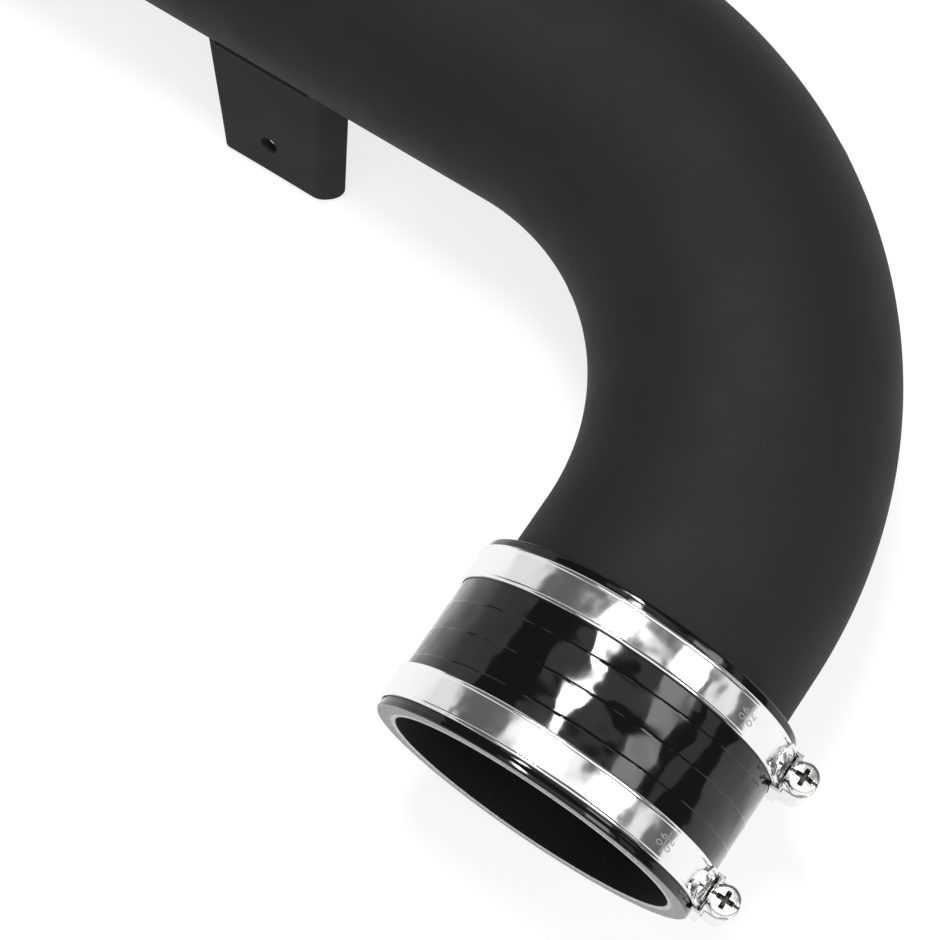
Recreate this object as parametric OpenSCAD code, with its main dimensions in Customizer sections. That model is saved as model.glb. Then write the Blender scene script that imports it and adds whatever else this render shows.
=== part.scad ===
// Cold air intake pipe: a bent aluminium tube with a welded mounting bracket and a short silicone
// coupler that two worm-drive clamps hold.
// The origin is the centre of the coupler's mouth. +X points out of the mouth, +Z is up, and the
// tube bends towards -Y. Lengths are in millimetres.

/* [Tube] */
// Outer diameter of the tube
tube_od = 76.2; // [60:0.1:100]
// Wall thickness of the tube
tube_wall = 2; // [1.2:0.1:3]
// Radius of the bend, measured to the tube's centre line
bend_r = 100; // [90:1:200]
// Straight tube between the coupler's end and the start of the bend
lead_len = 17; // [5:1:100]
// Straight tube after the bend, up to the open end
tail_len = 190; // [130:1:400]
// Distance of the rolled bead's middle from the open end
bead_inset = 9; // [6:0.5:20]
// Height of the rolled bead over the tube
bead_h = 1.2; // [0.5:0.1:2]

/* [Coupler] */
// Length of the silicone coupler
hose_len = 47; // [40:1:100]
// Wall thickness of the coupler
hose_wall = 4.8; // [3:0.1:8]
// Free depth of the coupler's mouth, up to the end of the tube inside
mouth_depth = 20; // [16:1:24]
// How far, in radius, the tube stretches the coupler's free bore
hose_stretch = 0.5; // [0.4:0.1:1]
// Size of the small chamfer on the coupler's edges
hose_chamfer = 0.4; // [0.2:0.1:1]

/* [Clamp bands] */
// Width of a clamp band
band_w = 9; // [7:0.5:12]
// Thickness of a clamp band
band_t = 0.7; // [0.4:0.05:1]
// Width of the raised rim along each band edge
band_rim_w = 1.1; // [0.6:0.1:2]
// Height of that rim over the band
band_rim_h = 0.25; // [0.1:0.05:0.5]
// Distance from the coupler's end to the middle of the nearer band
clamp_inset = 6.8; // [6:0.1:9]
// Turn of the mouth clamp round the coupler
mouth_clamp_turn = -6; // [-180:1:180]
// Turn of the tube clamp round the coupler
tube_clamp_turn = -6; // [-180:1:180]
// Length of the band's free end beyond the housing
band_tail_len = 11; // [6:0.5:30]

/* [Clamp housings] */
// Thickness of the housing's sheet
housing_sheet = 0.7; // [0.5:0.1:0.9]
// Length of the housing along its screw
housing_len = 13.6; // [11:0.1:18]

/* [Clamp screws] */
// Outer radius of the worm
worm_r = 3.2; // [2.8:0.1:4]
// Depth of the worm's thread
thread_depth = 0.9; // [0.5:0.1:1.2]
// Pitch of the worm's thread
thread_pitch = 2.3; // [2:0.1:3]
// Radius of the neck that turns in the housing's front wall
neck_r = 2.1; // [1.6:0.05:2.2]
// Radius of the tip that turns in the housing's rear wall
tip_r = 1.6; // [1:0.05:2]
// Width of the hexagonal head across its flats
head_af = 7.2; // [6.6:0.1:7.4]
// Radius that the head's corners are turned down to
head_r = 3.85; // [3.7:0.05:3.9]
// Height of the head over its collar
head_h = 4.2; // [3:0.1:6]
// Width of the cross recess and of the slot
recess_w = 1.1; // [0.6:0.1:1.4]
// Depth of the cross recess
recess_d = 2; // [1:0.1:2.5]

/* [Bracket] */
// Thickness of the bracket's sheet
bracket_t = 3; // [2:0.1:4]
// Distance from the end of the bend to the fold of the bracket's lip
bracket_start = 51; // [20:1:80]
// Width of the flat face at its lower edge
bracket_foot_w = 32; // [24:1:50]
// How much the flat face has widened where it meets the tube
bracket_flare = 5; // [0:0.5:10]
// Height of the flat face from its lower edge up to the tube
bracket_h = 42.1; // [30:0.1:60]
// How far inside the tube's side the plane of the face runs
bracket_inset = 5.5; // [3:0.1:12]
// Lean of the bracket's face from upright
bracket_lean = 14; // [5:1:25]
// Length of the lip along one side, measured from its fold
lip_len = 7.5; // [5:0.5:12]
// Angle that the lip is folded back by
lip_fold = 45; // [20:5:60]
// Inner radius of that fold
fold_r = 2.5; // [1:0.5:4]
// Radius of the lip's lower corner
lip_corner_r = 3.5; // [1:0.5:4]
// Radius of the bolt hole
bolt_hole_r = 2.65; // [2:0.05:4]
// Height of the bolt hole's centre over the lower edge
bolt_hole_up = 11.5; // [8:0.5:20]
// Radius of the weld beads between the bracket and the tube
weld_r = 1.5; // [1:0.1:3]

/* [Hidden] */

$fn = 96;

// Gap between parts that move past each other, such as the worm and the band
run_gap = 0.15;
// Radial gap of the neck and the tip in their bores
bearing_gap = 0.05;
// Gap between the housing's sheet and the band's edges
sheet_gap = 0.1;
// Overlap that makes one cut pass fully through a wall
cut = 1;

tube_r = tube_od / 2;
bore_r = tube_r - tube_wall;
mouth_r = tube_r - hose_stretch;
hose_r = tube_r + hose_wall;
bend_x = -(hose_len + lead_len);
tail_x = bend_x - bend_r;
tail_y = -bend_r;
bead_circle_r = 2;
// Steps round the bead's and the weld's small circles
small_steps = 32;

band_top_r = hose_r + band_t;
overlap_top_r = band_top_r + band_t;
mouth_clamp_x = -clamp_inset;
tube_clamp_x = -(hose_len - clamp_inset);

// Height of the screw's axis over the coupler's axis
screw_h = overlap_top_r + run_gap + worm_r;
housing_front = housing_len / 2;
housing_rear = -housing_len / 2;
arch_in_r = worm_r + run_gap;
arch_r = arch_in_r + housing_sheet;
band_lap = housing_front / 2;
// The free end's corners are cut by squares of this side, turned by 45 degrees
tail_corner = 4;
lap_inset = 0.05;
// Turn of the strip's closed ring, so that its seam lies clear of the lap
ring_turn = 120;
channel_top = overlap_top_r + band_rim_h + sheet_gap;
channel_half = band_w / 2 + sheet_gap;
worm_front = housing_front - housing_sheet - run_gap;
worm_rear = housing_rear + housing_sheet + run_gap;
collar_start = housing_front + run_gap;
collar_len = 0.8;
collar_step = 0.15;
collar_r = head_r - collar_step;
head_start = collar_start + collar_len;
head_end = head_start + head_h;
head_bevel_h = 0.7;
head_bevel_in = 1;
slot_d = 0.5;
cross_len = 4.4;

// The bracket's fold, seen along the tube, and its distances from the tube's centre line
fold_y = tail_y - bracket_start;
fold_out_r = fold_r + bracket_t;
fold_tangent = fold_out_r * tan(lip_fold / 2);
face_dist = tube_r - bracket_inset;
face_mid = bracket_h + sqrt(tube_r * tube_r - face_dist * face_dist);
back_dist = face_dist - bracket_t;
back_top = face_mid - sqrt(tube_r * tube_r - back_dist * back_dist);
face_flare = bracket_flare * face_mid / bracket_h;
lip_flat = lip_len - fold_tangent;
fold_steps = 9;
// The bolt hole lies in the middle between the foot's edge and the lip's fold
bolt_hole_in = (bracket_foot_w + fold_tangent) / 2;
weld_inset = 2;

// Angle that a length along the outer layer of the strip takes up
function strip_angle(len) = len * 180 / (PI * overlap_top_r);

// A rod along the tube's centre line, from x = start to past the open end by extra
module duct(r, start, extra) {
    translate([start, 0, 0])
        rotate([0, -90, 0])
            cylinder(r = r, h = start - bend_x);
    translate([bend_x, -bend_r, 0])
        rotate([0, 0, 90])
            rotate_extrude(angle = 90)
                translate([bend_r, 0])
                    circle(r = r);
    translate([tail_x, tail_y, 0])
        rotate([90, 0, 0])
            cylinder(r = r, h = tail_len + extra);
}

// The ring that lifts the wall by bead_h where the tube is rolled
module bead_ring(r) {
    translate([tail_x, tail_y - tail_len + bead_inset, 0])
        rotate([90, 0, 0])
            rotate_extrude()
                translate([r + bead_h - bead_circle_r, 0])
                    circle(r = bead_circle_r, $fn = small_steps);
}

module intake_pipe() {
    color("#2c2c2e")
        difference() {
            union() {
                duct(tube_r, -mouth_depth, 0);
                bead_ring(tube_r);
            }
            duct(bore_r, -mouth_depth + cut, cut);
            bead_ring(bore_r);
        }
}

// The coupler's section from its mouth, turned about the X axis. The tube fills the wider part of
// its bore.
module coupler_hose() {
    color("#0c0c0e")
        rotate([0, -90, 0])
            rotate_extrude()
                polygon([[mouth_r, 0],
                         [hose_r - hose_chamfer, 0],
                         [hose_r, hose_chamfer],
                         [hose_r, hose_len - hose_chamfer],
                         [hose_r - hose_chamfer, hose_len],
                         [tube_r, hose_len],
                         [tube_r, mouth_depth],
                         [mouth_r, mouth_depth]]);
}

// Places a clamp's own frame: ring axis along X, and its housing turned from +Y about X
module place_clamp(x, turn) {
    translate([x, 0, 0])
        rotate([turn, 0, 0])
            rotate([90, 0, 90])
                children();
}

// Section of the strip: flat, with a raised rim along each edge
module strip_section(inner_r, outer_r, half) {
    polygon([[inner_r, -half],
             [outer_r + band_rim_h, -half],
             [outer_r + band_rim_h, -half + band_rim_w],
             [outer_r, -half + band_rim_w],
             [outer_r, half - band_rim_w],
             [outer_r + band_rim_h, half - band_rim_w],
             [outer_r + band_rim_h, half],
             [inner_r, half]]);
}

// The strip goes once round the coupler, climbs onto its own start inside the housing, and leaves
// the housing as a free end with two cut corners
module clamp_band() {
    start_angle = strip_angle(band_lap);
    end_angle = strip_angle(housing_front + band_tail_len);
    rotate([0, 0, ring_turn])
        rotate_extrude()
            strip_section(hose_r, band_top_r, band_w / 2);
    difference() {
        rotate([0, 0, -start_angle])
            rotate_extrude(angle = start_angle + end_angle)
                strip_section(hose_r + band_t / 2, overlap_top_r, band_w / 2 - lap_inset);
        for (side = [-1, 1])
            rotate([0, 0, end_angle])
                translate([overlap_top_r, 0, side * band_w / 2])
                    rotate([45, 0, 0])
                        cube([4 * band_t, tail_corner, tail_corner], center = true);
    }
}

// Outline of the housing across the band: an arch over the screw on a wider channel over the band
module housing_outline(arch, half, shoulder, foot) {
    translate([screw_h, 0])
        circle(r = arch);
    translate([foot, -arch])
        square([screw_h - foot, 2 * arch]);
    translate([foot, -half])
        square([shoulder - foot, 2 * half]);
}

module along_screw(from, to) {
    translate([0, to, 0])
        rotate([90, 0, 0])
            linear_extrude(height = to - from)
                children();
}

module clamp_housing() {
    foot = sqrt(hose_r * hose_r - housing_front * housing_front) - housing_sheet;
    difference() {
        along_screw(housing_rear, housing_front)
            housing_outline(arch_r, channel_half + housing_sheet, channel_top + housing_sheet, foot);
        along_screw(housing_rear + housing_sheet, housing_front - housing_sheet)
            housing_outline(arch_in_r, channel_half, channel_top, foot - cut);
        along_screw(housing_rear - cut, housing_front + cut)
            translate([foot - cut, -channel_half])
                square([channel_top - foot + cut, 2 * channel_half]);
        screw_rod(neck_r + bearing_gap, 0, housing_front + cut);
        screw_rod(tip_r + bearing_gap, housing_rear - cut, 0);
        cylinder(r = hose_r, h = 2 * band_w, center = true);
    }
}

// A cylinder on the screw's axis
module screw_rod(r, from, to) {
    translate([screw_h, to, 0])
        rotate([90, 0, 0])
            cylinder(r = r, h = to - from);
}

// Points of the worm's outline: a trapezoid crest in each pitch. crest_foot and crest_top are half
// its widths at the root and at the top, as shares of the pitch.
crest_foot = 0.4;
crest_top = 0.12;
worm_turns = floor((worm_front - worm_rear) / thread_pitch);
worm_start = (worm_rear + worm_front - worm_turns * thread_pitch) / 2;
root_r = worm_r - thread_depth;
function crest(k) = [[root_r, worm_start + (k + 0.5 - crest_foot) * thread_pitch],
                     [worm_r, worm_start + (k + 0.5 - crest_top) * thread_pitch],
                     [worm_r, worm_start + (k + 0.5 + crest_top) * thread_pitch],
                     [root_r, worm_start + (k + 0.5 + crest_foot) * thread_pitch]];

module clamp_screw() {
    difference() {
        union() {
            translate([screw_h, 0, 0])
                rotate([-90, 0, 0])
                    rotate_extrude()
                        polygon(concat([[0, housing_rear],
                                        [tip_r, housing_rear],
                                        [tip_r, worm_rear],
                                        [root_r, worm_rear]],
                                       [for (k = [0 : worm_turns - 1]) each crest(k)],
                                       [[root_r, worm_front],
                                        [neck_r, worm_front],
                                        [neck_r, collar_start],
                                        [collar_r, collar_start],
                                        [collar_r, head_start],
                                        [0, head_start]]));
            intersection() {
                translate([screw_h, head_start, 0])
                    rotate([-90, 0, 0])
                        cylinder(r = head_af / sqrt(3), h = head_h, $fn = 6);
                translate([screw_h, 0, 0])
                    rotate([-90, 0, 0])
                        rotate_extrude()
                            polygon([[0, head_start],
                                     [head_r, head_start],
                                     [head_r, head_end - head_bevel_h],
                                     [head_r - head_bevel_in, head_end],
                                     [0, head_end]]);
            }
        }
        for (turn = [0, 90])
            translate([screw_h, head_end, 0])
                rotate([0, turn, 0])
                    cube([cross_len, 2 * recess_d, recess_w], center = true);
        translate([screw_h, head_end, 0])
            cube([2 * head_r + cut, 2 * slot_d, recess_w], center = true);
    }
}

// The bracket's own frame: x out of its face, y along the tube from the fold, z up the sheet from
// its lower edge
module place_bracket() {
    translate([tail_x, fold_y, 0])
        rotate([0, -bracket_lean, 0])
            translate([face_dist, 0, -face_mid])
                children();
}

// Section across the sheet: the flat face along x = 0, the fold's arc and the lip
function fold_arc(r) = [for (k = [0 : fold_steps])
    let (a = lip_fold * k / fold_steps)
    [r * cos(a) - fold_out_r, r * sin(a) - fold_tangent]];
function lip_end(r) = fold_arc(r)[fold_steps] + lip_flat * [-sin(lip_fold), cos(lip_fold)];

module sheet_section() {
    wide = bracket_foot_w + face_flare;
    back = [for (k = [fold_steps : -1 : 0]) fold_arc(fold_r)[k]];
    polygon(concat([[0, -wide]],
                   fold_arc(fold_out_r),
                   [lip_end(fold_out_r), lip_end(fold_r)],
                   back,
                   [[-bracket_t, -wide]]));
}

// Front outline: the face widens from its foot up to the tube, and the lip's lower corner is round
module front_outline() {
    side = lip_end(fold_out_r)[1];
    polygon([[-bracket_foot_w, 0],
             [side - lip_corner_r, 0],
             [side - lip_corner_r, lip_corner_r],
             [side, lip_corner_r],
             [side, face_mid],
             [-bracket_foot_w - face_flare, face_mid]]);
    translate([side - lip_corner_r, lip_corner_r])
        circle(r = lip_corner_r);
}

module bracket_sheet() {
    intersection() {
        linear_extrude(height = face_mid)
            sheet_section();
        translate([-lip_len - bracket_t, 0, 0])
            rotate([90, 0, 90])
                linear_extrude(height = lip_len + bracket_t + cut)
                    front_outline();
    }
}

// Weld beads where the face and the back of the sheet meet the tube, short of the sheet's edges
module weld_beads() {
    bead_len = bracket_foot_w + bracket_flare - fold_tangent - 2 * weld_inset;
    for (root = [[0, bracket_h], [-bracket_t, back_top]])
        translate([root[0], -fold_tangent - weld_inset, root[1]])
            rotate([90, 0, 0])
                cylinder(r = weld_r, h = bead_len, $fn = small_steps);
}

module mounting_bracket() {
    color("#2c2c2e")
        difference() {
            place_bracket()
                difference() {
                    union() {
                        bracket_sheet();
                        weld_beads();
                    }
                    translate([0, -bolt_hole_in, bolt_hole_up])
                        rotate([0, 90, 0])
                            cylinder(r = bolt_hole_r, h = 4 * bracket_t, center = true);
                }
            translate([tail_x, tail_y, 0])
                rotate([90, 0, 0])
                    cylinder(r = tube_r, h = tail_len);
        }
}

// Clamp steel and the paler zinc of the screws
module in_steel() {
    color("#d4d6d8")
        children();
}

module in_zinc() {
    color("#e6e6e2")
        children();
}

module mouth_clamp_band() {
    in_steel()
        place_clamp(mouth_clamp_x, mouth_clamp_turn)
            clamp_band();
}

module mouth_clamp_housing() {
    in_steel()
        place_clamp(mouth_clamp_x, mouth_clamp_turn)
            clamp_housing();
}

module mouth_clamp_screw() {
    in_zinc()
        place_clamp(mouth_clamp_x, mouth_clamp_turn)
            clamp_screw();
}

module tube_clamp_band() {
    in_steel()
        place_clamp(tube_clamp_x, tube_clamp_turn)
            clamp_band();
}

module tube_clamp_housing() {
    in_steel()
        place_clamp(tube_clamp_x, tube_clamp_turn)
            clamp_housing();
}

module tube_clamp_screw() {
    in_zinc()
        place_clamp(tube_clamp_x, tube_clamp_turn)
            clamp_screw();
}

intake_pipe();
mounting_bracket();
coupler_hose();
mouth_clamp_band();
mouth_clamp_housing();
mouth_clamp_screw();
tube_clamp_band();
tube_clamp_housing();
tube_clamp_screw();
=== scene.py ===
"""Looks for the cold air intake pipe: coated tube and bracket, silicone coupler, two worm-drive clamps.

Lengths in the functions are millimetres in the part's own frame. The origin is the centre of the
coupler's mouth, +X points out of it, +Z is up and the tube bends towards -Y. make_piece turns them
into metres.
"""

from math import cos, pi, radians, sin, sqrt, tan

import bmesh
import bpy
import numpy as np
from mathutils import Matrix, Vector


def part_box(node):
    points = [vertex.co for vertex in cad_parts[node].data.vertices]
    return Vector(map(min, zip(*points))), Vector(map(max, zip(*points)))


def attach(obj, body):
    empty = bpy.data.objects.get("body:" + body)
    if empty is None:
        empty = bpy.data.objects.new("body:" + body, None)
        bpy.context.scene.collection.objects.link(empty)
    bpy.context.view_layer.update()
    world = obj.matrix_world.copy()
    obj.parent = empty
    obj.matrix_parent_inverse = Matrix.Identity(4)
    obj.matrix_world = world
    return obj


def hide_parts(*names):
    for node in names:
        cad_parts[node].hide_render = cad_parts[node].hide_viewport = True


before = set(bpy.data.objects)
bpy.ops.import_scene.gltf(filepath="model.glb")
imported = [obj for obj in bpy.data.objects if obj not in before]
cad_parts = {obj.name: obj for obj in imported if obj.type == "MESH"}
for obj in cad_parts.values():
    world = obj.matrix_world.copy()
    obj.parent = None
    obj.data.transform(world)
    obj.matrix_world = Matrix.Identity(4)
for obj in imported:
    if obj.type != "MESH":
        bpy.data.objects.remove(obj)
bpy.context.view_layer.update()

MM = 0.001

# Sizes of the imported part, in millimetres. First the tube, along its centre line from the mouth
TUBE_R = 38.1
WALL = 2.0
BEND_R = 100.0
TUBE_START = 20.0
BEND_START = 64.0
BEND_LEN = BEND_R * pi / 2
TAIL_LEN = 190.0
BEND_END = BEND_START + BEND_LEN
TUBE_END = BEND_END + TAIL_LEN
BEAD_AT = TUBE_END - 9.0
BEAD_H = 1.2

# Coupler
HOSE_LEN = 47.0
HOSE_R = 42.9
MOUTH_R = 37.6

# Clamps: strip, housing and screw
BAND_W = 9.0
BAND_T = 0.7
RIM_W = 1.1
RIM_H = 0.25
CLAMP_X = {"mouth": -6.8, "tube": -40.2}
CLAMP_TURN = {"mouth": -6.0, "tube": -6.0}
HOUSING_LEN = 13.6
SHEET = 0.7
BAND_TAIL = 11.0
WORM_R = 3.2
THREAD_DEPTH = 0.9
THREAD_PITCH = 2.3
NECK_R = 2.1
TIP_R = 1.6
HEAD_AF = 7.2
HEAD_R = 3.85
HEAD_H = 4.2
COLLAR_LEN = 0.8
RUN_GAP = 0.15
SCREW_H = HOSE_R + 2 * BAND_T + RUN_GAP + WORM_R
ARCH_IN = WORM_R + RUN_GAP

# Bracket
BRACKET_T = 3.0
BRACKET_START = 51.0
FOOT_W = 32.0
FLARE = 5.0
FACE_H = 42.1
FACE_INSET = 5.5
LEAN = radians(14.0)
LIP_LEN = 7.5
LIP_FOLD = radians(45.0)
FOLD_R = 2.5
LIP_CORNER = 3.5
HOLE_R = 2.65
HOLE_UP = 11.5
FACE_DIST = TUBE_R - FACE_INSET
FACE_MID = FACE_H + sqrt(TUBE_R**2 - FACE_DIST**2)


# ---------------------------------------------------------------- meshes


def linear(hex_colour):
    """An sRGB hex colour as the linear RGBA that the shaders take."""
    srgb = np.array([int(hex_colour[i : i + 2], 16) for i in (1, 3, 5)]) / 255
    low = srgb / 12.92
    high = ((srgb + 0.055) / 1.055) ** 2.4
    return (*np.where(srgb <= 0.04045, low, high), 1.0)


def grid_faces(rows, cols, wrap_rows, wrap_cols):
    """The four corner numbers of each cell of a grid, whose last row or column may join the first."""
    i = np.arange(rows if wrap_rows else rows - 1)[:, None]
    j = np.arange(cols if wrap_cols else cols - 1)[None, :]
    i2, j2 = (i + 1) % rows, (j + 1) % cols
    return np.stack([i * cols + j, i2 * cols + j, i2 * cols + j2, i * cols + j2], -1).reshape(-1, 4)


def cell_kinds(row_material, rows, cells):
    """The material number of each cell, out of one number for each row of cells or for each cell."""
    strips = np.reshape(row_material[:rows], (rows, -1))
    return np.broadcast_to(strips, (rows, cells // rows)).ravel()


def make_piece(name, shells, materials, body, nodes=(), sharp=40, row_material=None):
    """One object out of closed grids, each given as (points, wrap_rows, wrap_cols).

    Rows that shrink to a pole are merged, and the normals then point outwards. Edges sharper than
    sharp degrees stay crisp. row_material numbers the material of each row of cells, or of each cell.
    """
    points, faces, kinds, at = [], [], [], 0
    for grid, wrap_rows, wrap_cols in shells:
        rows, cols = grid.shape[:2]
        cells = grid_faces(rows, cols, wrap_rows, wrap_cols)
        points.append(grid.reshape(-1, 3))
        faces.append(cells + at)
        if row_material is None:
            kinds.append(np.zeros(len(cells), int))
        else:
            kinds.append(cell_kinds(row_material, rows if wrap_rows else rows - 1, len(cells)))
        at += rows * cols
    points, faces, kinds = np.concatenate(points), np.concatenate(faces), np.concatenate(kinds)
    mesh = bpy.data.meshes.new(name)
    mesh.vertices.add(len(points))
    mesh.vertices.foreach_set("co", (points * MM).ravel())
    mesh.loops.add(faces.size)
    mesh.loops.foreach_set("vertex_index", faces.ravel())
    mesh.polygons.add(len(faces))
    mesh.polygons.foreach_set("loop_start", np.arange(0, faces.size, 4))
    mesh.polygons.foreach_set("material_index", kinds)
    mesh.update(calc_edges=True)
    work = bmesh.new()
    work.from_mesh(mesh)
    bmesh.ops.remove_doubles(work, verts=work.verts, dist=2e-7)
    bmesh.ops.dissolve_degenerate(work, edges=work.edges, dist=1e-8)
    bmesh.ops.recalc_face_normals(work, faces=work.faces)
    work.to_mesh(mesh)
    work.free()
    mesh.polygons.foreach_set("use_smooth", np.ones(len(mesh.polygons), bool))
    mesh.set_sharp_from_angle(angle=radians(sharp))
    for material in materials:
        mesh.materials.append(material)
    piece = bpy.data.objects.new(name, mesh)
    bpy.context.scene.collection.objects.link(piece)
    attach(piece, body)
    if nodes:
        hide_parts(*nodes)


def full_turn(count):
    """Angles evenly round a circle, without the repeat of the first."""
    return np.linspace(0, 2 * pi, count, endpoint=False)


def bump(x, width):
    """A smooth bump of height 1 about 0 that falls to about a third at width."""
    return np.exp(-((x / width) ** 2))


def ramp(x, start, end):
    """0 before start, 1 after end, and a smooth step between."""
    t = np.clip((x - start) / (end - start), 0, 1)
    return t * t * (3 - 2 * t)


def off_middle(x):
    """How far the fraction of x is from a half: 0 in the middle of each unit, a half at its ends."""
    return np.abs(x - np.floor(x) - 0.5)


def joined(*stretches):
    """Several stretches of numbers as one rising row without repeats."""
    return np.unique(np.round(np.concatenate(stretches), 5))


# ---------------------------------------------------------------- tube


def centre_line(s):
    """The tube's centre at distance s from the mouth, and the direction away from the bend's centre.

    Straight along -X, then a quarter circle, then straight along -Y.
    """
    a = np.clip((s - BEND_START) / BEND_R, 0, pi / 2)
    lead, tail = np.minimum(s, BEND_START), np.maximum(s - BEND_END, 0)
    x = -lead - BEND_R * np.sin(a)
    y = -BEND_R * (1 - np.cos(a)) - tail
    return np.stack([x, y], -1), np.stack([-np.sin(a), np.cos(a)], -1)


def along_tube(s, r, around):
    """Points at distance s along the tube and radius r: centre + r (cos out + sin up) for each angle."""
    centre, out = centre_line(s)
    r = r[:, None]
    across, up = r * np.cos(around), r * np.sin(around)
    x, y = centre[:, 0:1] + across * out[:, 0:1], centre[:, 1:2] + across * out[:, 1:2]
    return np.stack([x, y, up], -1)


def rounded_end(s, away):
    """The wall's lip at s, from the outer skin to the inner: a half circle that bulges along away."""
    t = np.linspace(0, pi, 13)[1:-1]
    half = WALL / 2
    return s + away * (half * np.sin(t) - half), TUBE_R - half + half * np.cos(t)


def make_tube(material):
    """The tube's wall: outer skin to the far end, round the lip, inner skin back, round the first lip.

    A bead is rolled near the far end, as a bump of both skins. A faint seam stands on the bend.
    """
    bead_width, bead_reach = 1.3, 4
    seam_at = BEND_START + BEND_R * radians(56.3)
    seam_height, seam_width, seam_reach = 0.08, 0.8, 3
    s = joined(
        np.linspace(TUBE_START + WALL / 2, BEND_START, 16),
        np.linspace(BEND_START, BEND_END, 80),
        np.linspace(seam_at - seam_reach, seam_at + seam_reach, 21),
        np.linspace(BEND_END, BEAD_AT - bead_reach, 40),
        np.linspace(BEAD_AT - bead_reach, BEAD_AT + bead_reach, 27),
        np.linspace(BEAD_AT + bead_reach, TUBE_END - WALL / 2, 5),
    )
    bead = BEAD_H * bump(s - BEAD_AT, bead_width)
    outer = TUBE_R + bead + seam_height * bump(s - seam_at, seam_width)
    inner = TUBE_R - WALL + bead
    far_s, far_r = rounded_end(TUBE_END, 1)
    near_s, near_r = rounded_end(TUBE_START, -1)
    path_s = np.concatenate([s, far_s, s[::-1], near_s[::-1]])
    path_r = np.concatenate([outer, far_r, inner[::-1], near_r[::-1]])
    shell = (along_tube(path_s, path_r, full_turn(144)), True, True)
    slot, node = "powder_coated_tube", "intake_pipe"
    make_piece("tube_wall", [shell], [material], "pipe", [node], sharp=60)


# ---------------------------------------------------------------- coupler


def wrap_lap(s, around):
    """How full the outer skin is under the curing wrap: 1 at each lap, then a step down and a slow rise.

    The laps lie on a helix with one turn every 7.5 mm.
    """
    pitch, first_lap, step_share = 7.5, 2.0, 0.045
    turns = (s[:, None] - first_lap) / pitch + around[None, :] / (2 * pi)
    part = turns - np.floor(turns)
    return 1 - ramp(part, 0.0, step_share) * (1 - 0.6 * ramp(part, 0.1, 1.0))


def make_hose(silicone, ply_edge, liner):
    """The coupler's wall as one closed loop of stations and radii carried round X.

    The loop runs along the outer skin to the mouth, over its round edge, down the cut face, through
    the bore and the wider seat over the tube, and up the back face.
    """
    wrap_step, edge_round, inner_chamfer, seat_ramp = 0.16, 0.5, 0.2, 0.01
    skin_rows, edge_rows, face_rows, back_rows = 230, 7, 14, 10
    t = np.linspace(0, pi / 2, edge_rows)
    skin_s = np.linspace(edge_round, HOSE_LEN - edge_round, skin_rows)
    front_s = edge_round - edge_round * np.sin(t)
    front_r = HOSE_R - edge_round + edge_round * np.cos(t)
    face_r = np.linspace(HOSE_R - edge_round, MOUTH_R + inner_chamfer, face_rows)
    seat_s = (TUBE_START - seat_ramp, TUBE_START + seat_ramp)
    bore_s = np.array([inner_chamfer, *seat_s, HOSE_LEN - inner_chamfer])
    bore_r = np.array([MOUTH_R, MOUTH_R, TUBE_R, TUBE_R])
    back_r = np.linspace(TUBE_R + inner_chamfer, HOSE_R - edge_round, back_rows)
    back_edge_s = HOSE_LEN - edge_round + edge_round * np.sin(t[::-1])
    stations = [skin_s[::-1], front_s[1:], np.zeros(face_rows - 1), bore_s]
    stations += [np.full(back_rows, HOSE_LEN), back_edge_s[1:-1]]
    radii = [np.full(skin_rows, HOSE_R), front_r[1:], face_r[1:], bore_r]
    radii += [back_r, front_r[::-1][1:-1]]
    s, r = np.concatenate(stations), np.concatenate(radii)
    gloss, cut, bore = 0, 1, 2
    kinds = [gloss] * (skin_rows + edge_rows - 2) + [cut] * face_rows + [bore] * 3
    kinds += [gloss] + [cut] * (back_rows - 1) + [gloss] * (edge_rows - 1)
    around = full_turn(216)
    outside = np.arange(len(s)) < skin_rows
    clear_of_ends = ramp(s, 1, 2) * (1 - ramp(s, HOSE_LEN - 2, HOSE_LEN - 1))
    sunk = np.where(outside, wrap_step, 0) * clear_of_ends
    radius = r[:, None] - sunk[:, None] * (1 - wrap_lap(s, around))
    x = np.broadcast_to(-s[:, None], radius.shape)
    points = np.stack([x, radius * np.cos(around), radius * np.sin(around)], -1)
    make_piece(
        "silicone_coupler",
        [(points, True, True)],
        [silicone, ply_edge, liner],
        "pipe",
        ["coupler_hose"],
        sharp=35,
        row_material=np.array(kinds),
    )


# ---------------------------------------------------------------- clamps


def place_clamp(points, which):
    """From a clamp's frame to the part's.

    In the clamp's, x points out through the housing, y along its screw and z along the coupler.
    """
    turn = radians(CLAMP_TURN[which])
    x, y, z = points[..., 0], points[..., 1], points[..., 2]
    return np.stack([z + CLAMP_X[which], x * cos(turn) - y * sin(turn), x * sin(turn) + y * cos(turn)], -1)


def strip_profile():
    """The strip's section as (across, height) points: flat below, and flat above between two rolled rims."""
    bulge, side_mid, soft_drop, soft_width = 0.12, 0.3, 0.1, 0.4
    half = BAND_W / 2
    w = np.linspace(-half + bulge, half - bulge, 61)
    edge = half - np.abs(w)
    rim = RIM_H * np.sqrt(np.clip(1 - ((edge - RIM_W / 2) / (RIM_W / 2)) ** 2, 0, 1))
    top = BAND_T - soft_drop * (1 - ramp(edge, 0, soft_width)) + rim
    t = np.linspace(0, pi, 7)[1:-1]
    side_w, side_h = bulge * np.sin(t), side_mid - side_mid * np.cos(t)
    under = w[::-6]
    across = np.concatenate([w, half - bulge + side_w, under, -half + bulge - side_w[::-1]])
    height = np.concatenate([top, side_h[::-1], np.zeros(len(under)), side_h])
    return across, height


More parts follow.
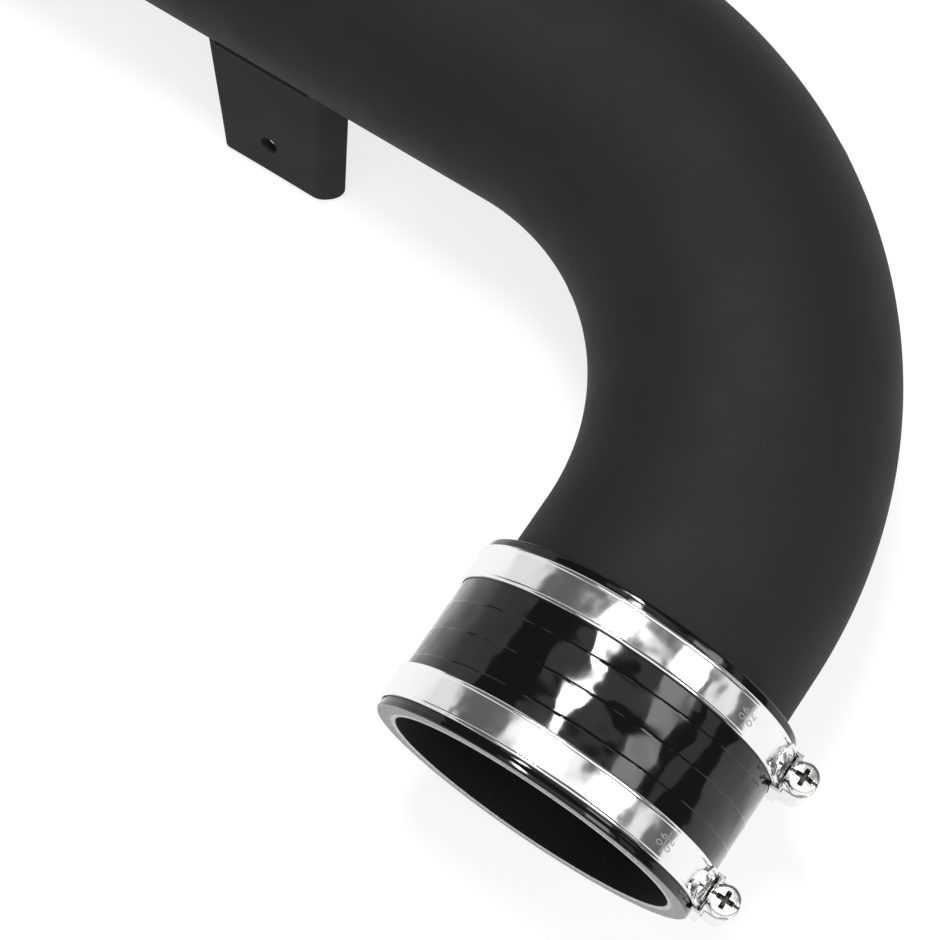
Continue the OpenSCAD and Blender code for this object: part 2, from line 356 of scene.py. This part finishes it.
def make_band(which, material):
    """The strip goes once round the coupler, climbs onto its own start and ends free past the housing.

    Thread grooves are pressed across it near that end: a slanted wave of THREAD_PITCH that fades at
    both sides and at both ends. The free end's corners are cut off.
    """
    groove_depth, groove_slant, groove_wall = 0.42, radians(5), (0.36, 0.2)
    side_fade, near_fade, far_fade = (2.5, 2.9), (6.0, 7.0), (42, 44)
    climb_from, climb_to = 2 * pi - 0.34, 2 * pi - 0.16
    corner_cut, fine_len = 2.4, 46
    across, height = strip_profile()
    over_r = HOSE_R + 2 * BAND_T
    start = -0.25 * HOUSING_LEN / over_r
    end = 2 * pi + (HOUSING_LEN / 2 + BAND_TAIL) / over_r
    fine = end - fine_len / over_r
    angle = joined(np.linspace(start, fine, 190), np.linspace(fine, end, 260))
    climb = ramp(angle, climb_from, climb_to)
    left = (end - angle) * over_r
    groove = ramp(off_middle((left[:, None] + across * tan(groove_slant)) / THREAD_PITCH), *groove_wall)
    pressed_along = ramp(left, *near_fade) * (1 - ramp(left, *far_fade))
    pressed_across = (1 - ramp(np.abs(across), *side_fade)) * (height > 0.5 * BAND_T)
    depth = groove_depth * groove * pressed_across * pressed_along[:, None]
    half = BAND_W / 2
    width = np.where(left < corner_cut, np.clip(half - corner_cut + left, 0, half), half) / half
    radius = (HOSE_R + BAND_T * climb)[:, None] + height - depth
    x, y = radius * np.cos(angle)[:, None], radius * np.sin(angle)[:, None]
    points = np.stack([x, y, across * width[:, None]], -1)
    ends = (points[:1], points[-1:])
    caps = [np.repeat(row.mean(1, keepdims=True), points.shape[1], 1) for row in ends]
    strip = place_clamp(np.concatenate([caps[0], points, caps[1]]), which)
    name, node = which + "_clamp_strip", which + "_clamp_band"
    make_piece(name, [(strip, False, True)], [material], "pipe", [node], sharp=35)


def digit_path(digit):
    """The stroke of one digit 1.8 high about its middle, as (right, up) points.

    0 is an ellipse, 7 is two straight strokes, and 9 is a small ring whose right side runs down to
    the left.
    """
    t = np.linspace(0, 2 * pi, 25)
    if digit == "0":
        return np.stack([0.5 * np.cos(t), 0.9 * np.sin(t)], -1)
    if digit == "7":
        return np.array([[-0.5, 0.9], [0.5, 0.9], [0.1, 0.0], [-0.2, -0.9]])
    ring = np.stack([0.5 * np.cos(t), 0.42 + 0.48 * np.sin(t)], -1)
    return np.concatenate([ring, [[0.42, -0.1], [0.2, -0.6], [-0.1, -0.9]]])


def etched_stroke(path, width, proud):
    """A thin ribbon along a path of (across, along) points on the strip, closed at both ends.

    Its section is a rectangle of four corners that stands proud of the strip by a hair.
    """
    way = np.gradient(path, axis=0)
    length = np.maximum(np.hypot(way[:, 0], way[:, 1]), 1e-9)
    side = np.stack([-way[:, 1], way[:, 0]], -1) / length[:, None]
    corners = []
    for edge, up in ((-1, 0.0), (1, 0.0), (1, 1.0), (-1, 1.0)):
        rise = np.full((len(path), 1), up * proud)
        corners.append(np.concatenate([path + side * edge * width / 2, rise], 1))
    ribbon = np.stack(corners, 1)
    ends = ribbon[[0, -1]].mean(1, keepdims=True) * np.ones((1, 4, 1))
    return np.concatenate([ends[:1], ribbon, ends[1:]])


def make_numbers(which, material):
    """The strip's plain size numbers, 90 and 70 on each side of a bar, read across the strip."""
    stroke_width, proud, sunk = 0.24, 0.06, 0.02
    row_up, digit_right, bar_half = 1.5, 0.85, 2.7
    middle = radians(41.5 - CLAMP_TURN[which])
    top_r = HOSE_R + BAND_T
    strokes = [np.array([[-bar_half, 0.0], [-1.0, 0.0], [1.0, 0.0], [bar_half, 0.0]])]
    for digits, row in (("70", row_up), ("90", -row_up)):
        for digit, column in zip(digits, (-digit_right, digit_right)):
            strokes.append(digit_path(digit) + [column, row])
    shells = []
    for stroke in strokes:
        ribbon = etched_stroke(stroke, stroke_width, proud)
        angle = middle - ribbon[..., 1] / top_r
        r = top_r - sunk + ribbon[..., 2]
        points = np.stack([r * np.cos(angle), r * np.sin(angle), ribbon[..., 0]], -1)
        shells.append((place_clamp(points, which), False, True))
    make_piece(which + "_size_numbers", shells, [material], "pipe", sharp=35)


def housing_section(arch, half, shoulder, foot):
    """A half circle over the worm on two cheeks, shoulders over the strip and feet beside it.

    The points are (height, across), from one foot to the other.
    """
    t = np.linspace(-pi / 2, pi / 2, 33)
    over = np.stack([SCREW_H + arch * np.cos(t), arch * np.sin(t)], -1)
    left = np.array([[foot, -half], [shoulder, -half], [shoulder, -arch]])
    return np.concatenate([left, over, (left * [1, -1])[::-1]])


def housing_wall(wall_y, bore, way):
    """An end wall as four rings: the bore and the wall's outline, in front and a sheet's thickness behind.

    Above the screw the outline is a circle of the arch's radius. Below, it keeps to the arch's width
    and ends on a flat just over the strip.
    """
    t = full_turn(72)
    arch = ARCH_IN + SHEET / 2
    over_strip = 0.32
    flat = HOSE_R + 2 * BAND_T + over_strip - SCREW_H
    below = np.minimum(arch / np.maximum(np.abs(np.sin(t)), 1e-6), flat / np.minimum(np.cos(t), -1e-6))
    reach = np.where(np.cos(t) >= 0, arch, below)
    rings = []
    for r, depth in ((bore, 0.0), (reach, 0.0), (reach, SHEET), (bore, SHEET)):
        y = np.full(len(t), wall_y - way * depth)
        rings.append(np.stack([SCREW_H + r * np.cos(t), y, r * np.sin(t)], -1))
    return np.array(rings)


def make_housing(which, material):
    """Formed sheet: an outer and an inner section joined at the feet and drawn along the screw.

    The feet follow the coupler's round. Two end walls carry the bores that the screw turns in.
    """
    side_play, bore_play, foot_part = 0.1, 0.05, 0.3
    half_len = HOUSING_LEN / 2
    half = BAND_W / 2 + side_play
    channel = HOSE_R + 2 * BAND_T + RIM_H + side_play
    foot = sqrt(HOSE_R**2 - half_len**2) - side_play
    outer = housing_section(ARCH_IN + SHEET, half + SHEET, channel + SHEET, foot)
    inner = housing_section(ARCH_IN, half, channel, foot)
    loop = np.concatenate([outer, inner[::-1]])
    y = np.linspace(-half_len, half_len, 9)[:, None]
    at_foot = loop[:, 0] < channel - foot_part
    lift = np.maximum(np.sqrt(HOSE_R**2 - y**2) - loop[:, 0], 0) * at_foot
    height = loop[:, 0] + lift
    along, across = np.broadcast_to(y, height.shape), np.broadcast_to(loop[:, 1], height.shape)
    points = np.stack([height, along, across], -1)
    shells = [(place_clamp(points, which), False, True)]
    for wall_y, hole_r, way in ((half_len, NECK_R, 1), (-half_len, TIP_R, -1)):
        shells.append((place_clamp(housing_wall(wall_y, hole_r + bore_play, way), which), True, True))
    name, node = which + "_clamp_saddle", which + "_clamp_housing"
    make_piece(name, shells, [material], "pipe", [node], sharp=35)


def cross_arm(along, beside):
    """Depth share of one arm of the cross recess: full in its middle, with steep sides and sloped ends."""
    return (1 - ramp(np.abs(beside), 0.42, 0.62)) * (1 - ramp(np.abs(along), 1.2, 2.35))


def slot_depth(beside):
    """Depth of the straight slot across the whole head: flat within a quarter millimetre of its middle."""
    return 0.5 * (1 - ramp(np.abs(beside), 0.25, 0.38))


def worm_radius(y, around, start, end):
    """Radius of the worm: its root plus a crest on a helix of THREAD_PITCH that fades at both ends."""
    fade_len = 1.2
    turns = (y[:, None] - THREAD_PITCH * around / (2 * pi)) / THREAD_PITCH
    crest = 1 - ramp(off_middle(turns), 0.12, 0.4)
    fade = ramp(y, start, start + fade_len) * (1 - ramp(y, end - fade_len, end))
    return WORM_R - THREAD_DEPTH + THREAD_DEPTH * crest * fade[:, None]


def make_screw(which, material, shade_paint):
    """One skin turned about the screw's axis, from the tip to the middle of the head's face.

    The worm's radius follows a helix and the head's a hexagon with turned corners. The face is a
    shallow dome that dips into a cross recess and a slot, whose floors carry a painted shade.
    """
    step, soft, recess_depth, dome_rise = 0.01, 0.15, 2.0, 0.15
    # Depths past which the recess and slot floors take the painted shade, and how far below the face it reaches
    # in the slot on the bevel
    shade_from_recess, shade_from_slot, shade_side_reach = 0.7, 0.45, 0.6
    face_rows, face_rim = 100, 0.9
    half_len = HOUSING_LEN / 2
    collar = half_len + RUN_GAP
    head = collar + COLLAR_LEN
    top = head + HEAD_H
    around = full_turn(192)
    ring = np.ones((1, len(around)))

    # Tip, worm, neck and collar as (radius, y)
    worm_from, worm_to = -half_len + SHEET + RUN_GAP, half_len - SHEET - RUN_GAP
    worm_y = np.linspace(worm_from, worm_to, 120)
    before = np.array(
        [
            (0, -half_len),
            (TIP_R - soft, -half_len),
            (TIP_R, -half_len + soft),
            (TIP_R, worm_from - step),
        ]
    )
    after = np.array(
        [
            (NECK_R, worm_to + step),
            (NECK_R, collar - step),
            (HEAD_R - 2 * soft, collar),
            (HEAD_R - soft, collar + soft),
            (HEAD_R - soft, head - soft),
            (HEAD_R - 2 * soft, head - step),
        ]
    )

    # Side of the head up to its face as (height, how far out of the hexagon or in from the corners)
    flank = 0.12
    bevel = [
        (0.0, 0.0),
        (0.12, 0.12),
        (HEAD_H - 0.95, 0.12),
        (HEAD_H - 0.6, 0.0),
        (HEAD_H - 0.3, -0.25),
        (HEAD_H - 0.1, -0.55),
        (HEAD_H, -face_rim),
    ]
    hexagon = HEAD_AF / 2 / np.cos((around + pi / 6) % (pi / 3) - pi / 6)
    side = np.minimum(hexagon, HEAD_R)
    bevel_r = np.array(
        [side - flank + out if out >= 0 else np.minimum(side, HEAD_R + out) for _, out in bevel]
    )
    bevel_slot = slot_depth(bevel_r * np.sin(around))
    bevel_y = np.minimum(head + np.array([up for up, _ in bevel])[:, None], top - bevel_slot)

    # The face, from its rim to its middle. The rim is the bevel's last row
    face_r = np.linspace(1, 0, face_rows)[1:, None] * (HEAD_R - face_rim) * ring
    u, v = face_r * np.cos(around), face_r * np.sin(around)
    recess = recess_depth * np.maximum(cross_arm(u, v), cross_arm(v, u))
    face_y = top + dome_rise * (1 - (face_r / HEAD_R) ** 2) - np.maximum(recess, slot_depth(v))

    worm_r = worm_radius(worm_y, around, worm_from, worm_to)
    all_r = [before[:, :1] * ring, worm_r, after[:, :1] * ring, bevel_r, face_r]
    all_y = [before[:, 1:] * ring, worm_y[:, None] * ring, after[:, 1:] * ring, bevel_y, face_y]
    all_r, all_y = np.concatenate(all_r), np.concatenate(all_y)
    points = np.stack([SCREW_H + all_r * np.cos(around), all_y, all_r * np.sin(around)], -1)
    # Cells of the recess and slot floors that carry the painted shade
    shaded_cells = np.concatenate(
        [
            np.zeros((len(all_r) - len(bevel_r) - len(face_r), len(around)), bool),
            (bevel_slot > shade_from_slot) & (bevel_y > top - shade_side_reach),
            (recess > shade_from_recess) | (slot_depth(v) > shade_from_slot),
        ]
    )
    make_piece(
        which + "_worm_screw",
        [(place_clamp(points, which), False, True)],
        [material, shade_paint],
        which + "_screw",
        [which + "_clamp_screw"],
        sharp=32,
        row_material=shaded_cells.astype(int),
    )


# ---------------------------------------------------------------- bracket


def bend_sheet(a, b, depth):
    """A point of the flat sheet after its lip is folded back.

    a is across, b is up and depth is under its front. Before the fold the point stays, over the fold
    it turns, and past the fold it runs on straight.
    """
    out_r = FOLD_R + BRACKET_T
    tangent = out_r * tan(LIP_FOLD / 2)
    along = a + tangent
    turn = np.clip(along / out_r, 0, LIP_FOLD)
    past = np.maximum(along - out_r * LIP_FOLD, 0)
    r = out_r - depth
    x = r * np.cos(turn) - out_r - past * np.sin(turn)
    y = np.where(along < 0, a, -tangent + r * np.sin(turn) + past * np.cos(turn))
    return np.stack([x, y, b], -1)


def place_bracket(points):
    """From the bracket's frame (x out of its face, y along the tube, z up the sheet) to the part's frame.

    Points that would reach into the tube's bore are pushed out to just inside its outer skin.
    """
    weld_depth = 0.9
    x, y, z = points[..., 0] + FACE_DIST, points[..., 1], points[..., 2] - FACE_MID
    across, up = x * cos(LEAN) - z * sin(LEAN), x * sin(LEAN) + z * cos(LEAN)
    dist = np.hypot(across, up)
    push = np.maximum(TUBE_R - weld_depth, dist) / dist
    return np.stack([across * push - BEND_START - BEND_R, y - BEND_R - BRACKET_START, up * push], -1)


def sheet_outline(count):
    """The flat sheet's outline seen from its front, in count evenly spaced points and its corners.

    It runs from the foot's corner along the lower edge, round the lip's corner, up its side, along
    the top inside the tube's wall and down the flared edge.
    """
    foot_round, hidden_top, lip_play = 1, 6, 0.4
    side = LIP_LEN - lip_play
    top = FACE_H + hidden_top
    t = np.linspace(-pi / 2, 0, 12)
    corner = LIP_CORNER * np.stack([np.cos(t) - 1, np.sin(t) + 1], -1) + [side, 0]
    t = np.linspace(pi, 3 * pi / 2, 6)
    foot = foot_round * np.stack([np.cos(t) + 1, np.sin(t) + 1], -1) - [FOOT_W, 0]
    upper = [[side, top], [-FOOT_W - FLARE * top / FACE_H, top]]
    line = np.concatenate([foot, corner, upper, foot[:1]])
    step = np.r_[0, np.cumsum(np.hypot(*np.diff(line, axis=0).T))]
    even = np.linspace(0, step[-1], count - len(line) + 1, endpoint=False)
    want = np.sort(np.r_[even, step[1:-1]])
    return np.stack([np.interp(want, step, line[:, 0]), np.interp(want, step, line[:, 1])], -1)


def sheet_rings(reach):
    """Distance from the hole's middle and depth under the front skin of each ring of the sheet.

    Round the hole's front edge, over the front skin, round the outline's two edges, over the back
    skin and into the hole again. reach is the distance to the outline in each direction.
    """
    edge, hole_edge = 0.55, 0.12
    rim = HOLE_R + hole_edge
    flat_steps = np.linspace(0, 1, 70)
    rings = []
    for a in np.linspace(0, pi / 2, 5):
        rings.append((rim - hole_edge * cos(a), hole_edge - hole_edge * sin(a)))
    for f in flat_steps[1:]:
        rings.append((rim + (reach - edge - rim) * f, 0.0))
    turns = np.linspace(0, pi / 2, 6)
    for a in turns[1:]:
        rings.append((reach - edge + edge * sin(a), edge - edge * cos(a)))
    for a in turns[::-1]:
        rings.append((reach - edge + edge * sin(a), BRACKET_T - edge + edge * cos(a)))
    for f in flat_steps[::-1][1:]:
        rings.append((rim + (reach - edge - rim) * f, BRACKET_T))
    rings.append((HOLE_R, BRACKET_T - hole_edge))
    full = np.ones(len(reach))
    return np.array([r * full for r, _ in rings]), np.array([depth * full for _, depth in rings])


def weld_bead(length, x, start, z):
    """A weld bead: a round rod whose radius ripples at each drop of the weld and shrinks at both ends."""
    bead_r, ripple, drop, end_len = 1.0, 0.1, 1.7, 1.5
    y = np.linspace(0, length, 150)
    from_end = np.clip(1 - np.minimum(y, length - y) / end_len, 0, 1)
    taper = np.sqrt(np.clip(1 - from_end**2, 0, 1))
    t = full_turn(32)
    r = (bead_r * (1 + ripple * np.abs(np.sin(pi * y / drop))) * taper)[:, None]
    along = np.broadcast_to((start - y)[:, None], (len(y), len(t)))
    return np.stack([x + r * np.cos(t), along, z + r * np.sin(t)], -1)


def make_bracket(material):
    """The sheet as rings between its bolt hole and its outline, then folded, and two weld beads."""
    bead_from, bead_short = 2, 4
    tangent = (FOLD_R + BRACKET_T) * tan(LIP_FOLD / 2)
    hole = np.array([-(FOOT_W + tangent) / 2, HOLE_UP])
    line = sheet_outline(260)
    reach = np.hypot(*(line - hole).T)
    way = (line - hole) / reach[:, None]
    r, depth = sheet_rings(reach)
    flat = hole + way * r[..., None]
    shells = [(place_bracket(bend_sheet(flat[..., 0], flat[..., 1], depth)), True, True)]
    length = FOOT_W + FLARE - tangent - bead_short
    back_top = FACE_MID - sqrt(TUBE_R**2 - (FACE_DIST - BRACKET_T) ** 2)
    for x, z in ((0.0, FACE_H), (-BRACKET_T, back_top)):
        shells.append((place_bracket(weld_bead(length, x, -tangent - bead_from, z)), False, True))
    slot, node = "powder_coated_sheet", "mounting_bracket"
    make_piece("welded_bracket", shells, [material], "pipe", [node], sharp=50)


# ---------------------------------------------------------------- materials


def add_node(tree, kind, settings=(), links=()):
    """A node of that kind. settings is {socket or property: value}, and links is {input: output socket}."""
    node = tree.nodes.new(kind)
    for key, value in dict(settings).items():
        if key in node.inputs:
            node.inputs[key].default_value = value
        else:
            setattr(node, key, value)
    for key, source in dict(links).items():
        tree.links.new(source, node.inputs[key])
    return node


def new_material(name, **settings):
    """A material whose Principled shader has those settings, with its node tree and that shader."""
    material = bpy.data.materials.new(name)
    material.use_nodes = True
    tree = material.node_tree
    shader = tree.nodes["Principled BSDF"]
    for key, value in settings.items():
        shader.inputs[key.replace("_", " ")].default_value = value
    return material, tree, shader


def noise_grain(tree, size_mm, detail, rough=0.5):
    """Noise on Object coordinates whose waves are about size_mm long.

    The texture's scale counts waves per metre. rough is the share of the finer waves.
    """
    place = add_node(tree, "ShaderNodeTexCoord")
    settings = {"Scale": 1 / (size_mm * MM), "Detail": detail, "Roughness": rough}
    return add_node(tree, "ShaderNodeTexNoise", settings, {"Vector": place.outputs["Object"]})


def raise_by(tree, shader, grain, height_mm, strength=1.0):
    """Bump the shader's normal by the grain, height_mm between its low and its high."""
    settings = {"Strength": strength, "Distance": height_mm * MM}
    raised = add_node(tree, "ShaderNodeBump", settings, {"Height": grain.outputs["Fac"]})
    tree.links.new(raised.outputs["Normal"], shader.inputs["Normal"])


def vary(tree, socket, grain, low, high):
    """Spread a socket from low to high over the middle of the grain."""
    settings = {"From Min": 0.35, "From Max": 0.65, "To Min": low, "To Max": high}
    spread = add_node(tree, "ShaderNodeMapRange", settings, {"Value": grain.outputs["Fac"]})
    tree.links.new(spread.outputs["Result"], socket)


def tint(tree, socket, amount, low, high):
    """Mix a colour socket between two sRGB hex colours by an output socket that runs from 0 to 1."""
    mix = add_node(tree, "ShaderNodeMix", {"data_type": "RGBA"}, {0: amount})
    mix.inputs[6].default_value, mix.inputs[7].default_value = linear(low), linear(high)
    tree.links.new(mix.outputs[2], socket)


def satin_powder_coat():
    """Polyester powder coat on aluminium, sprayed and baked.

    Its orange peel of about a millimetre breaks up the sheen, so the black reads as soft charcoal,
    and its own speckle and a slightly uneven sheen keep the long surface alive.
    """
    material, tree, shader = new_material("satin_powder_coat", IOR=1.36)
    raise_by(tree, shader, noise_grain(tree, 1.1, 2.0), 0.04, 0.25)
    vary(tree, shader.inputs["Roughness"], noise_grain(tree, 14.0, 3.0), 0.69, 0.75)
    speckle = noise_grain(tree, 0.9, 2.0)
    tint(tree, shader.inputs["Base Color"], speckle.outputs["Fac"], "#181819", "#1c1c1d")
    return material


def glossy_silicone():
    """Silicone cured under a tight glossy film: deep black with mirror-like highlights.

    The wrap leaves long dents of about 18 mm, and handling leaves the gloss uneven.
    """
    material, tree, shader = new_material("glossy_silicone", Base_Color=linear("#0b0b0c"), IOR=1.4)
    raise_by(tree, shader, noise_grain(tree, 18.0, 2.0, 0.35), 1.5)
    vary(tree, shader.inputs["Roughness"], noise_grain(tree, 7.0, 3.0), 0.05, 0.13)
    return material


def matt_liner():
    """The coupler's bore as it comes off its mandrel: matt black without the film's gloss.

    The mouth reads as an even dark, with the mandrel's fine grain.
    """
    material, tree, shader = new_material("matt_liner", IOR=1.41)
    grain = noise_grain(tree, 0.8, 3.0)
    raise_by(tree, shader, grain, 0.03, 0.4)
    vary(tree, shader.inputs["Roughness"], grain, 0.68, 0.82)
    cloud = noise_grain(tree, 6.0, 2.0)
    tint(tree, shader.inputs["Base Color"], cloud.outputs["Fac"], "#0a0a0b", "#0e0e0f")
    return material


def cut_plies():
    """Knife-cut silicone with its polyester plies: a dull pale grey face, whiter in the ply at the bore.

    The cut threads' grain is drawn a millimetre long, coarse enough to show.
    """
    ply_from, ply_to = (MOUTH_R + 0.9) * MM, (MOUTH_R + 1.4) * MM
    material, tree, shader = new_material("cut_plies", Roughness=0.6, IOR=1.43)
    place = add_node(tree, "ShaderNodeTexCoord")
    flat = add_node(tree, "ShaderNodeVectorMath", {"operation": "MULTIPLY"}, {0: place.outputs["Object"]})
    flat.inputs[1].default_value = (0.0, 1.0, 1.0)
    radius = add_node(tree, "ShaderNodeVectorMath", {"operation": "LENGTH"}, {0: flat.outputs["Vector"]})
    settings = {"From Min": ply_from, "From Max": ply_to, "To Max": 0.5}
    ply = add_node(tree, "ShaderNodeMapRange", settings, {"Value": radius.outputs["Value"]})
    grain = noise_grain(tree, 1.0, 3.0)
    links = {0: grain.outputs["Fac"], 2: ply.outputs["Result"]}
    both = add_node(tree, "ShaderNodeMath", {"operation": "MULTIPLY_ADD"}, links)
    both.inputs[1].default_value = 0.85
    tint(tree, shader.inputs["Base Color"], both.outputs["Value"], "#fcfcfc", "#9c9ca0")
    raise_by(tree, shader, grain, 0.05, 0.6)
    return material


def polished_stainless():
    """Rolled and polished stainless strip: a bright mirror that shows what is round it.

    Dents of about 13 mm bend the mirror gently, and handling dulls it in places.
    """
    material, tree, shader = new_material("polished_stainless", Base_Color=linear("#ededee"), Metallic=1.0)
    raise_by(tree, shader, noise_grain(tree, 13.3, 2.0, 0.4), 0.8)
    vary(tree, shader.inputs["Roughness"], noise_grain(tree, 5.0, 3.0), 0.1, 0.18)
    return material


def bright_zinc():
    """Zinc plated steel: slightly softer and whiter than the strip, with the plating's fine spangle."""
    material, tree, shader = new_material("bright_zinc", Metallic=1.0)
    spangle = noise_grain(tree, 0.9, 2.0)
    raise_by(tree, shader, spangle, 0.02, 0.4)
    vary(tree, shader.inputs["Roughness"], spangle, 0.18, 0.26)
    cloud = noise_grain(tree, 2.5, 2.0)
    tint(tree, shader.inputs["Base Color"], cloud.outputs["Fac"], "#f5f4ec", "#ebebe8")
    return material


def painted_recess_shade():
    """Painted shade for the driver's cross recess and slot: a dark brown-black in place of the shade and dark
    reflections they hold, so that the cross reads against the zinc, mottled.
    """
    material, tree, shader = new_material("painted_recess_shade", IOR=1.47)
    shade_mottle = noise_grain(tree, 0.7, 2.0)
    vary(tree, shader.inputs["Roughness"], shade_mottle, 0.3, 0.5)
    # Painted shade: the recess's dark colour, mottled by the noise
    tint(tree, shader.inputs["Base Color"], shade_mottle.outputs["Fac"], "#1c1a15", "#2d2921")
    return material


def etched_steel():
    """Stainless etched matt: the numbers stay pale and even where the strip mirrors the room.

    The etch's grain is drawn at 0.3 mm, coarser than it is.
    """
    material, tree, shader = new_material("etched_steel", Metallic=1.0)
    grain = noise_grain(tree, 0.3, 2.0)
    raise_by(tree, shader, grain, 0.01, 0.5)
    vary(tree, shader.inputs["Roughness"], grain, 0.7, 0.8)
    tint(tree, shader.inputs["Base Color"], grain.outputs["Fac"], "#a8a8a6", "#c0c0be")
    return material


# ---------------------------------------------------------------- stage


def place_camera():
    """The photograph's view: the camera's place, the point it looks at, and its roll about that line."""
    data = bpy.data.cameras.new("photo_camera")
    data.lens, data.sensor_width, data.sensor_fit = 95.43, 36.0, "HORIZONTAL"
    data.clip_start, data.clip_end = 0.01, 50.0
    camera = bpy.data.objects.new("photo_camera", data)
    bpy.context.scene.collection.objects.link(camera)
    place, target = Vector((81.12, 85.93, 567.38)) * MM, Vector((-61.88, -58.51, 0.0)) * MM
    ahead = (target - place).normalized()
    level = ahead.cross(Vector((0, 0, 1))).normalized()
    up = level.cross(ahead)
    roll = radians(-11.801)
    right = level * cos(roll) + up * sin(roll)
    up = up * cos(roll) - level * sin(roll)
    turn = Matrix((right, up, -ahead)).transposed().to_4x4()
    camera.matrix_world = Matrix.Translation(place) @ turn
    bpy.context.scene.camera = camera


def pale_paper():
    """White studio paper, which takes a shadow but stays white.

    Seen by the camera, in a reflection or through glass, 72 % of it is its own light of strength 1.1.
    """
    glow_share, glow_strength = 0.72, 1.1
    material, tree, shader = new_material("pale_paper", Base_Color=linear("#f3f3f3"), Roughness=0.9)
    ray = add_node(tree, "ShaderNodeLightPath")
    links = {0: ray.outputs["Is Camera Ray"], 1: ray.outputs["Is Glossy Ray"]}
    first = add_node(tree, "ShaderNodeMath", {"operation": "MAXIMUM"}, links)
    links = {0: first.outputs[0], 1: ray.outputs["Is Transmission Ray"]}
    seen = add_node(tree, "ShaderNodeMath", {"operation": "MAXIMUM"}, links)
    share = add_node(tree, "ShaderNodeMath", {"operation": "MULTIPLY"}, {0: seen.outputs[0]})
    share.inputs[1].default_value = glow_share
    glow = add_node(tree, "ShaderNodeEmission", {"Color": linear("#ffffff"), "Strength": glow_strength})
    links = {0: share.outputs[0], 1: shader.outputs[0], 2: glow.outputs[0]}
    mix = add_node(tree, "ShaderNodeMixShader", (), links)
    tree.links.new(mix.outputs[0], tree.nodes["Material Output"].inputs["Surface"])
    return material


def make_floor():
    """A round sheet of paper under the part that curves up into a backdrop behind it.

    Radius and height follow a quarter circle, both scaled by the direction, so that the sheet ends
    flat and nearer on the side of the coupler.
    """
    flat_to, curve_r, back_height = 1800, 700, 1100
    centre_x, centre_y, near_share = -80, -120, 0.44
    paper_gap = 0.1
    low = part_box("mounting_bracket")[0].z / MM - paper_gap
    t = np.linspace(0, pi / 2, 24)[1:]
    flat = np.linspace(40, flat_to, 8)
    r = np.concatenate([[0], flat, flat_to + curve_r * np.sin(t), [flat_to + curve_r]])
    height = np.concatenate([np.zeros(1 + len(flat)), curve_r - curve_r * np.cos(t), [back_height]])
    around = full_turn(96)
    behind = ramp(-np.sin(around), -0.3, 0.2)
    reach = r[:, None] * (near_share + (1 - near_share) * behind)
    x, y = reach * np.cos(around) + centre_x, reach * np.sin(around) + centre_y
    points = np.stack([x, y, low + height[:, None] * behind], -1)
    rows, cols = points.shape[:2]
    upwards = grid_faces(rows, cols, False, True)[:, ::-1]
    mesh = bpy.data.meshes.new("paper_sweep")
    mesh.from_pydata((points * MM).reshape(-1, 3).tolist(), [], upwards.tolist())
    mesh.polygons.foreach_set("use_smooth", np.ones(len(mesh.polygons), bool))
    mesh.materials.append(pale_paper())
    floor = bpy.data.objects.new("paper_sweep", mesh)
    bpy.context.scene.collection.objects.link(floor)


def add_softbox(name, place, target, size, power):
    """A rectangular area lamp at place that faces target, in millimetres, and its power in watts."""
    data = bpy.data.lights.new(name, "AREA")
    data.shape, data.size, data.size_y, data.energy = "RECTANGLE", size[0] * MM, size[1] * MM, power
    lamp = bpy.data.objects.new(name, data)
    bpy.context.scene.collection.objects.link(lamp)
    place, target = Vector(place) * MM, Vector(target) * MM
    turn = (target - place).to_track_quat("-Z", "Y").to_matrix().to_4x4()
    lamp.matrix_world = Matrix.Translation(place) @ turn


def set_world():
    """A dim grey room over the paper."""
    world = bpy.data.worlds.new("studio_room")
    world.use_nodes = True
    back = world.node_tree.nodes["Background"]
    back.inputs["Color"].default_value = linear("#bcbdbf")
    back.inputs["Strength"].default_value = 0.25
    bpy.context.scene.world = world


coat = satin_powder_coat()
steel = polished_stainless()
zinc = bright_zinc()
# Painted shade for the screws' recesses and slots
shade_paint = painted_recess_shade()
etched = etched_steel()
make_tube(coat)
make_bracket(coat)
make_hose(glossy_silicone(), cut_plies(), matt_liner())
for clamp in ("mouth", "tube"):
    make_band(clamp, steel)
    make_housing(clamp, steel)
    make_numbers(clamp, etched)
    make_screw(clamp, zinc, shade_paint)

place_camera()
make_floor()
set_world()

# The first three stand where the coupler's highlights are. The two cards light everything evenly
coupler = (-25, 0, 40)
add_softbox("window_softbox", (-250, -170, 1195), (-25, 0, 43), (190, 300), 9.5)
add_softbox("panel_softbox", (-110, 900, 960), coupler, (500, 480), 4.5)
add_softbox("strip_softbox", (-250, 1150, 440), coupler, (500, 260), 0.33)
add_softbox("ceiling_card", (617, -50, 1300), (617, -50, 0), (1765, 1500), 8.2)
add_softbox("far_card", (557, 1400, 1300), (557, 1400, 0), (1885, 1400), 8.2)
bpy.context.scene.view_settings.view_transform = "Standard"
